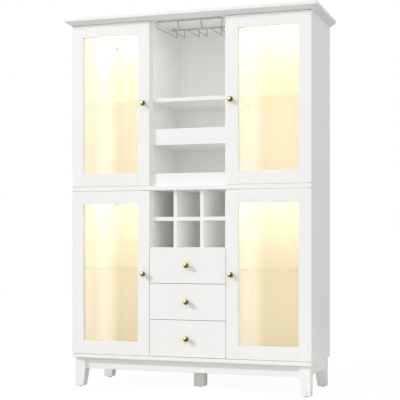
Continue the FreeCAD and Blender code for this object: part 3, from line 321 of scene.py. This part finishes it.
PANE = pane("door_pane", (0.985, 0.992, 0.988), 0.016)
SHELF = pane("shelf_pane", (0.952, 0.978, 0.966), 0.012)
SHELF_FAR = clear("shelf_far_face", (0.972, 0.986, 0.978))
PANE_RIM = glass_rim("door_pane_edge", (0.62, 0.76, 0.70), 0.35)
SHELF_RIM = glass_rim("shelf_edge", (0.980, 0.986, 0.972), 0.08)

# node: (material, eased edge in mm)
LOOKS = {
    "top_cap": (FRONT, 1.6), "carcass_top": (CARCASS, 0.8), "crown_moulding": (FRONT, 0.8),
    "upper_side_panels": (FRONT, 1.0), "lower_side_panels": (FRONT, 1.0),
    "column_dividers": (CARCASS, 0.9), "mid_board": (FRONT, 1.0), "bottom_board": (FRONT, 1.0),
    "upper_back_panel": (BACK, 0.4), "lower_back_panel": (BACK, 0.4),
    "column_shelves": (CARCASS, 1.0), "guard_rails": (FRONT, 1.0),
    "wine_rack_shelves": (CARCASS, 0.9), "wine_rack_uprights": (CARCASS, 0.9),
    "base_aprons": (FRONT, 1.2), "corner_legs": (FRONT, 1.6), "centre_leg": (FRONT, 1.6),
    "panel_dowels": (BEECH, 0.0), "foot_glides": (DARK, 0.0),
    "glass_shelves": (SHELF, 0.0), "shelf_pins": (ZINC, 0.0), "drawer_runners": (ZINC, 0.0),
    "rack_screws": (ZINC, 0.0), "pivot_bushes": (NYLON, 0.0), "stemware_rack": (CHROME, 0.0),
    "light_bars": (ANODISED, 0.0), "light_diffusers": (OPAL, 0.0),
    "cable_grommets": (GROMMET, 0.0), "light_leads": (LEAD, 0.0), "lead_clips": (WHITE, 0.6),
    "door_catches": (WHITE, 1.0), "light_driver": (DRIVER, 2.0),
}
for d in DOORS:
    LOOKS[d + "_door_frame"] = (FRONT, 1.0)
    LOOKS[d + "_door_glass"] = (PANE, 0.0)
    LOOKS[d + "_door_knob"] = (BRASS, 0.0)
    LOOKS[d + "_door_fittings"] = (ZINC, 0.0)
for d in DRAWERS:
    LOOKS[d + "_drawer_front"] = (FRONT, 1.0)
    LOOKS[d + "_drawer_box"] = (INSIDE, 0.9)
    LOOKS[d + "_drawer_knob"] = (BRASS, 0.0)
    LOOKS[d + "_drawer_fittings"] = (ZINC, 0.0)


# --------------------------------------------------------------- eased edges

def study(mesh, sharp=30.0):
    """Which solid each vertex belongs to, which solids touch at a corner, and
    which vertices lie on the straight sharp edges of a board."""
    n = len(mesh.vertices)
    co = np.empty(n * 3)
    mesh.vertices.foreach_get("co", co)
    co = co.reshape(-1, 3)
    tri = np.empty(len(mesh.loops), np.int64)
    mesh.loops.foreach_get("vertex_index", tri)
    tri = tri.reshape(-1, 3)
    spot = np.unique(np.round(co * 1e5).astype(np.int64), axis=0, return_inverse=True)[1].reshape(-1)
    nor = np.cross(co[tri[:, 1]] - co[tri[:, 0]], co[tri[:, 2]] - co[tri[:, 0]])
    nor /= np.maximum(np.linalg.norm(nor, axis=1), 1e-20)[:, None]
    solid = np.zeros(n, np.int64)
    waiting, count = {}, 0
    edges = []
    for t, (a, b, c) in enumerate(tri):
        solid[[a, b, c]] = count
        for p, q in ((a, b), (b, c), (c, a)):
            key = (spot[p], spot[q]) if spot[p] < spot[q] else (spot[q], spot[p])
            other = waiting.pop(key, None)
            if other is None:
                waiting[key] = t
            elif np.dot(nor[t], nor[other]) < math.cos(math.radians(sharp)):
                edges.append((count, p, q))
        if not waiting:
            count += 1
    met = {}
    for v in range(n):
        met.setdefault(spot[v], set()).add(solid[v])
    touch = {(x, y) for s in met.values() if len(s) > 1 for x in s for y in s if x != y}
    groups = {}
    for s in range(count):
        taken = {groups[y] for x, y in touch if x == s and y in groups}
        groups[s] = next(i for i in range(count + 1) if i not in taken)
    ways = {}
    for s, p, q in edges:
        d = co[q] - co[p]
        ways.setdefault((s, spot[p]), []).append(d)
        ways.setdefault((s, spot[q]), []).append(-d)
    return co, spot, solid, groups, ways


def crisp(angle):
    """Leaves an edge sharp where its faces meet at more than this angle."""
    g = bpy.data.node_groups.new("crisp_edges", "GeometryNodeTree")
    g.interface.new_socket("Geometry", in_out="INPUT", socket_type="NodeSocketGeometry")
    g.interface.new_socket("Geometry", in_out="OUTPUT", socket_type="NodeSocketGeometry")
    a, b = g.nodes.new("NodeGroupInput"), g.nodes.new("NodeGroupOutput")
    turn = g.nodes.new("GeometryNodeInputMeshEdgeAngle")
    over = g.nodes.new("FunctionNodeCompare")
    over.data_type, over.operation = "FLOAT", "GREATER_THAN"
    over.inputs["B"].default_value = math.radians(angle)
    flat = g.nodes.new("GeometryNodeSetShadeSmooth")
    flat.domain = "EDGE"
    flat.inputs["Shade Smooth"].default_value = False
    g.links.new(turn.outputs["Unsigned Angle"], over.inputs["A"])
    g.links.new(over.outputs["Result"], flat.inputs["Selection"])
    g.links.new(a.outputs["Geometry"], flat.inputs["Geometry"])
    g.links.new(flat.outputs["Geometry"], b.inputs["Geometry"])
    return g


CRISP = crisp(36.0)


def soften(obj, width):
    """Welds the faces of each solid and rounds its straight sharp edges."""
    mesh = obj.data
    co, spot, solid, groups, ways = study(mesh)
    many = max(groups.values(), default=0) + 1
    for g in range(many):
        m = obj.modifiers.new("weld%d" % g, "WELD")
        m.merge_threshold = 1e-5
        if many > 1:
            vg = obj.vertex_groups.new(name="solid%d" % g)
            vg.add([int(v) for v in np.nonzero([groups.get(s, 0) == g for s in solid])[0]], 1.0, "REPLACE")
            m.vertex_group = vg.name
    keep = {}
    for key, ds in ways.items():
        long = [float(np.linalg.norm(d)) for d in ds]
        unit = [d / l for d, l in zip(ds, long)]
        corner = len(ds) >= 3
        straight = len(ds) == 2 and float(np.dot(unit[0], unit[1])) < -0.9995
        keep[key] = (corner or straight) and min(long) > 3.0 * width
    chosen = [v for v in range(len(co)) if keep.get((solid[v], spot[v]), False)]
    if width <= 0 or not chosen:
        obj.modifiers.new("crisp", "NODES").node_group = CRISP
        return
    vg = obj.vertex_groups.new(name="eased")
    vg.add(chosen, 1.0, "REPLACE")
    flat = obj.modifiers.new("plane", "DECIMATE")
    flat.decimate_type = "DISSOLVE"
    flat.angle_limit = math.radians(0.4)
    b = obj.modifiers.new("eased", "BEVEL")
    b.limit_method = "VGROUP"
    b.vertex_group = vg.name
    b.width = width
    b.segments = 3
    b.use_clamp_overlap = True
    b.loop_slide = False
    obj.modifiers.new("crisp", "NODES").node_group = CRISP
    w = obj.modifiers.new("shading", "WEIGHTED_NORMAL")
    w.keep_sharp = True


for name, (look, ease) in LOOKS.items():
    obj = nodes[name]
    mesh = obj.data
    mesh.materials.clear()
    mesh.materials.append(look)
    bpy.context.view_layer.objects.active = obj
    bpy.ops.mesh.customdata_custom_splitnormals_clear()
    mesh.shade_smooth()
    soften(obj, ease / 1000.0)

# the cut edges of each sheet of glass take the green of its depth
for name, rim, axis in ([("glass_shelves", SHELF_RIM, 2)]
                        + [(d + "_door_glass", PANE_RIM, 1) for d in DOORS]):
    mesh = nodes[name].data
    mesh.materials.append(rim)
    for p in mesh.polygons:
        p.material_index = 0 if abs(p.normal[axis]) > 0.7 else 1
mesh = nodes["glass_shelves"].data
mesh.materials.append(SHELF_FAR)
for p in mesh.polygons:
    if p.material_index == 0 and (p.normal[2] > 0) == (p.center[2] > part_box("mid_board")[1].z):
        p.material_index = 2


# ------------------------------------------------------------------ lighting

def area(name, at, aim, wide, high, power, colour=(1, 1, 1), **seen):
    data = bpy.data.lights.new(name, "AREA")
    data.shape = "RECTANGLE"
    data.size, data.size_y = wide, high
    data.energy = power
    data.color = colour
    o = bpy.data.objects.new(name, data)
    scene.collection.objects.link(o)
    o.location = at
    o.rotation_euler = aim
    o.visible_camera = False
    for k, v in seen.items():
        setattr(o, k, v)
    return o


AROUND = 0.40    # even light of the room
AHEAD = 0.645    # more of it from in front and the right
ASIDE = 0.205    # and from the right alone
KEY = 1.54       # the sharper light from the upper left
LAMP = (0.355, 0.425)        # each lamp under a diffuser, upper and lower
GLOW = (0.575, 0.370)        # what it spreads through its compartment
LAMP_TONE = ((1.0, 0.87, 0.62), (1.0, 0.85, 0.57))
GLOW_TONE = ((1.0, 0.61, 0.21), (1.0, 0.56, 0.07))
WASH = (0.066, 0.033)        # what it throws on the back just under its ceiling
STRIP = (2.9, 2.4)          # the tall strips that the door glass mirrors
FOOT = 0.185     # what the floor sends up under the cabinet
BESIDE = 0.50    # and on its right
# soft light that reaches into the open bays of the column: left, right,
# floor, ceiling, distance from the front edge, power, spread
BAYS = ((-0.180, 0.180, 1.397, 1.768, 0.004, 0.083, 175.0),
        (-0.180, 0.180, 1.191, 1.378, 0.020, 0.072, 120.0),
        (-0.180, 0.180, 0.977, 1.172, 0.020, 0.055, 120.0),
        (-0.180, -0.076, 0.829, 0.956, 0.004, 0.0086, 64.0),
        (-0.056, 0.056, 0.829, 0.956, 0.004, 0.0245, 64.0),
        (0.076, 0.180, 0.829, 0.956, 0.004, 0.0245, 64.0),
        (-0.180, -0.076, 0.684, 0.811, 0.004, 0.0135, 64.0),
        (-0.056, 0.056, 0.684, 0.811, 0.004, 0.0290, 84.0),
        (0.076, 0.180, 0.684, 0.811, 0.004, 0.0335, 64.0))

# what the walls and floors of the open bays hand on: floor, ceiling, power
# from the right wall to the left, power from the floor up
HANDED = ((1.397, 1.768, 0.034, 0.015), (1.191, 1.378, 0.014, 0.010), (0.977, 1.172, 0.014, 0.008))

# warm lamps under the diffusers of the four compartments, and the soft light
# that fills each of them
low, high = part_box("light_diffusers")
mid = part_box("mid_board")
for floor, z in enumerate((high.z - 0.0032, mid[0].z - 0.0102)):
    for side in (-1.0, 1.0):
        tag = "%d_%s" % (round(z * 1000), "rl"[side < 0])
        area("lamp_" + tag, (side * 0.389, (low.y + high.y) / 2.0, z), (0, 0, 0),
             0.348, high.y - low.y, LAMP[floor], LAMP_TONE[floor])
        area("glow_" + tag, (side * 0.394, -0.180, z - 0.385), (math.pi / 2.0, 0, 0),
             0.280, 0.66, GLOW[floor], GLOW_TONE[floor], visible_glossy=False).data.spread = math.radians(140.0)
        area("wash_" + tag, (side * 0.389, 0.143, z - 0.004), (math.pi / 2.0, 0, 0),
             0.348, 0.008, WASH[floor], (1.0, 0.97, 0.93), visible_glossy=False)
for x0, x1, z0, z1, back, power, wide in BAYS:
    area("bay_%d_%d" % (round(x0 * 1000), round(z0 * 1000)),
         ((x0 + x1) / 2.0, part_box("column_dividers")[0].y + back, (z0 + z1) / 2.0),
         (math.pi / 2.0, 0, 0), x1 - x0, z1 - z0 - 0.004, power,
         visible_glossy=False).data.spread = math.radians(wide)

for z0, z1, across, upward in HANDED:
    area("across_%d" % round(z0 * 1000), (0.178, 0.02, (z0 + z1) / 2.0), (0, math.pi / 2.0, 0),
         z1 - z0 - 0.02, 0.30, across, visible_glossy=False)
    area("upward_%d" % round(z0 * 1000), (0, 0.02, z0 + 0.003), (math.pi, 0, 0),
         0.33, 0.30, upward, visible_glossy=False)

# key light from the upper left, in front
sun = bpy.data.lights.new("key", "SUN")
sun.energy = KEY
sun.angle = math.radians(4.5)
key = bpy.data.objects.new("key", sun)
scene.collection.objects.link(key)
key.rotation_euler = Vector((0.67, 0.465, -0.47)).to_track_quat("-Z", "Y").to_euler()

# tall soft strips that the door glass mirrors
for x, level in zip((-1.3152, -0.2630), STRIP):
    k = Look("soft_strip")
    c = k.add("ShaderNodeTexCoord")
    along = k.add("ShaderNodeSeparateXYZ")
    k.link(c.outputs["Generated"], along.inputs["Vector"])
    across = k.ramp(along.outputs["X"], (0.0, (0.42, 0.42, 0.42)), (0.62, (0.42, 0.42, 0.42)),
                    (0.77, (1, 1, 1)), (0.81, (1, 1, 1)), (1.0, (0, 0, 0)))
    k.nt.nodes[-1].color_ramp.interpolation = "EASE"
    shine = k.add("ShaderNodeEmission")
    k.link(across, shine.inputs["Color"])
    shine.inputs["Strength"].default_value = level
    k.link(shine.outputs[0], k.end.inputs["Surface"])
    strip = bpy.data.meshes.new("strip")
    strip.from_pydata([(x + i, -2.25, z) for i, z in ((-0.440, 0.004), (0.112, 0.004), (0.112, 3.0), (-0.440, 3.0))],
                      [], [(0, 1, 2, 3)])
    strip.materials.append(k.m)
    o = bpy.data.objects.new("strip_%d" % round(x * 1000), strip)
    scene.collection.objects.link(o)
    o.visible_camera = o.visible_diffuse = o.visible_transmission = o.visible_shadow = False

# room: soft light, stronger from in front, white to the camera, and darker
# straight in front of the cabinet for what shiny things mirror
world = bpy.data.worlds.new("studio")
scene.world = world
world.use_nodes = True
nt = world.node_tree
nt.nodes.clear()
out = nt.nodes.new("ShaderNodeOutputWorld")
path = nt.nodes.new("ShaderNodeLightPath")
where = nt.nodes.new("ShaderNodeTexCoord")


def ground(colour=None):
    b = nt.nodes.new("ShaderNodeBackground")
    b.inputs["Color"].default_value = (1, 1, 1, 1)
    b.inputs["Strength"].default_value = 1.0
    if colour is not None:
        nt.links.new(colour, b.inputs["Color"])
    return b.outputs[0]


def towards(way, *stops, tone=(1, 1, 1)):
    """Brightness by how far a direction lies along another."""
    dot = nt.nodes.new("ShaderNodeVectorMath")
    dot.operation = "DOT_PRODUCT"
    nt.links.new(where.outputs["Generated"], dot.inputs[0])
    dot.inputs[1].default_value = Vector(way).normalized()
    fade = nt.nodes.new("ShaderNodeValToRGB")
    for e, (at, level) in zip(fade.color_ramp.elements, stops):
        e.position = at
        e.color = tuple(level * t for t in tone) + (1,)
    nt.links.new(dot.outputs["Value"], fade.inputs["Fac"])
    return fade.outputs["Color"]


soft = nt.nodes.new("ShaderNodeMixShader")
nt.links.new(path.outputs["Is Glossy Ray"], soft.inputs[0])
broad = nt.nodes.new("ShaderNodeAddShader")
nt.links.new(ground(towards((0.55, -0.83, 0.06), (0.0, AROUND), (1.0, AROUND + AHEAD))), broad.inputs[0])
nt.links.new(ground(towards((1.0, -0.1, 0.0), (0.0, 0.0), (1.0, ASIDE), tone=(1.0, 0.975, 0.92))), broad.inputs[1])
nt.links.new(broad.outputs[0], soft.inputs[1])
shiny = nt.nodes.new("ShaderNodeAddShader")
nt.links.new(ground(towards((0.35, -0.93, 0.05), (0.15, 0.55), (0.80, 0.10))), shiny.inputs[0])
nt.links.new(ground(towards((-0.67, -0.465, 0.577), (0.72, 0.0), (0.93, 2.4))), shiny.inputs[1])
nt.links.new(shiny.outputs[0], soft.inputs[2])
whole = nt.nodes.new("ShaderNodeMixShader")
nt.links.new(path.outputs["Is Camera Ray"], whole.inputs[0])
nt.links.new(soft.outputs[0], whole.inputs[1])
nt.links.new(ground(), whole.inputs[2])
nt.links.new(whole.outputs[0], out.inputs["Surface"])

# floor: a pale sheet, lit through so that only a faint shadow shows on it
k = Look("pale_floor")
w = k.place()
drift = k.noise(w, 1.1, 3.0)
sheet = k.add("ShaderNodeBsdfDiffuse")
k.link(k.ramp(drift, (0.3, (0.69, 0.69, 0.68)), (0.7, (0.71, 0.71, 0.70))), sheet.inputs["Color"])
under = k.add("ShaderNodeSeparateXYZ")
k.link(w, under.inputs["Vector"])
patch = k.maths("MULTIPLY", k.span(k.maths("ABSOLUTE", under.outputs["X"]), 1.0, 0.0, 0.50, 0.80),
                k.span(k.maths("ABSOLUTE", under.outputs["Y"]), 1.0, 0.0, 0.05, 0.17))
rise = k.add("ShaderNodeEmission")
k.link(k.ramp(drift, (0.3, (0.99, 0.965, 0.92)), (0.7, (1.0, 0.975, 0.93))), rise.inputs["Color"])
right = k.maths("MULTIPLY", k.span(under.outputs["X"], 0.0, 1.0, 0.60, 0.68),
                k.span(under.outputs["X"], 1.0, 0.0, 1.0, 1.7))
right = k.maths("MULTIPLY", right, k.span(k.maths("ABSOLUTE", under.outputs["Y"]), 1.0, 0.0, 0.30, 0.60))
k.link(k.maths("ADD", k.maths("MULTIPLY", patch, FOOT), k.maths("MULTIPLY", right, BESIDE)),
       rise.inputs["Strength"])
risen = k.add("ShaderNodeAddShader")
k.link(sheet.outputs[0], risen.inputs[0])
k.link(rise.outputs[0], risen.inputs[1])
shade = k.add("ShaderNodeBsdfDiffuse")
k.link(k.ramp(drift, (0.3, (0.085, 0.085, 0.085)), (0.7, (0.090, 0.090, 0.090))), shade.inputs["Color"])
lit = k.add("ShaderNodeEmission")
k.link(k.ramp(drift, (0.3, (0.930, 0.930, 0.930)), (0.7, (0.940, 0.940, 0.940))), lit.inputs["Color"])
both = k.add("ShaderNodeAddShader")
k.link(shade.outputs[0], both.inputs[0])
k.link(lit.outputs[0], both.inputs[1])
ray = k.add("ShaderNodeLightPath")
dim = k.add("ShaderNodeBsdfDiffuse")
k.link(k.ramp(drift, (0.3, (0.14, 0.14, 0.14)), (0.7, (0.16, 0.16, 0.16))), dim.inputs["Color"])
sent = k.add("ShaderNodeMixShader")
k.link(ray.outputs["Is Glossy Ray"], sent.inputs["Fac"])
k.link(risen.outputs[0], sent.inputs[1])
k.link(dim.outputs[0], sent.inputs[2])
seen = k.add("ShaderNodeMixShader")
k.link(ray.outputs["Is Camera Ray"], seen.inputs["Fac"])
k.link(sent.outputs[0], seen.inputs[1])
k.link(both.outputs[0], seen.inputs[2])
k.link(seen.outputs[0], k.end.inputs["Surface"])
disc = bpy.data.meshes.new("floor")
ring = [(9.0 * math.cos(2 * math.pi * i / 96), 9.0 * math.sin(2 * math.pi * i / 96), 0.0) for i in range(96)]
disc.from_pydata(ring, [], [list(range(96))])
disc.materials.append(k.m)
floor = bpy.data.objects.new("floor", disc)
scene.collection.objects.link(floor)

# -------------------------------------------------------------------- camera

lens = bpy.data.cameras.new("camera")
lens.sensor_width = 36.0
lens.lens = 92.66
lens.shift_y = 0.1005
lens.clip_start, lens.clip_end = 0.05, 60.0
cam = bpy.data.objects.new("camera", lens)
scene.collection.objects.link(cam)
cam.location = (1.58966, -4.79356, 0.71797)
cam.rotation_euler = (math.pi / 2.0, 0.0, 0.3206)
scene.camera = cam

scene.view_settings.view_transform = "Standard"
scene.view_settings.look = "None"
scene.cycles.max_bounces = 20
scene.cycles.diffuse_bounces = 10
scene.cycles.transparent_max_bounces = 24
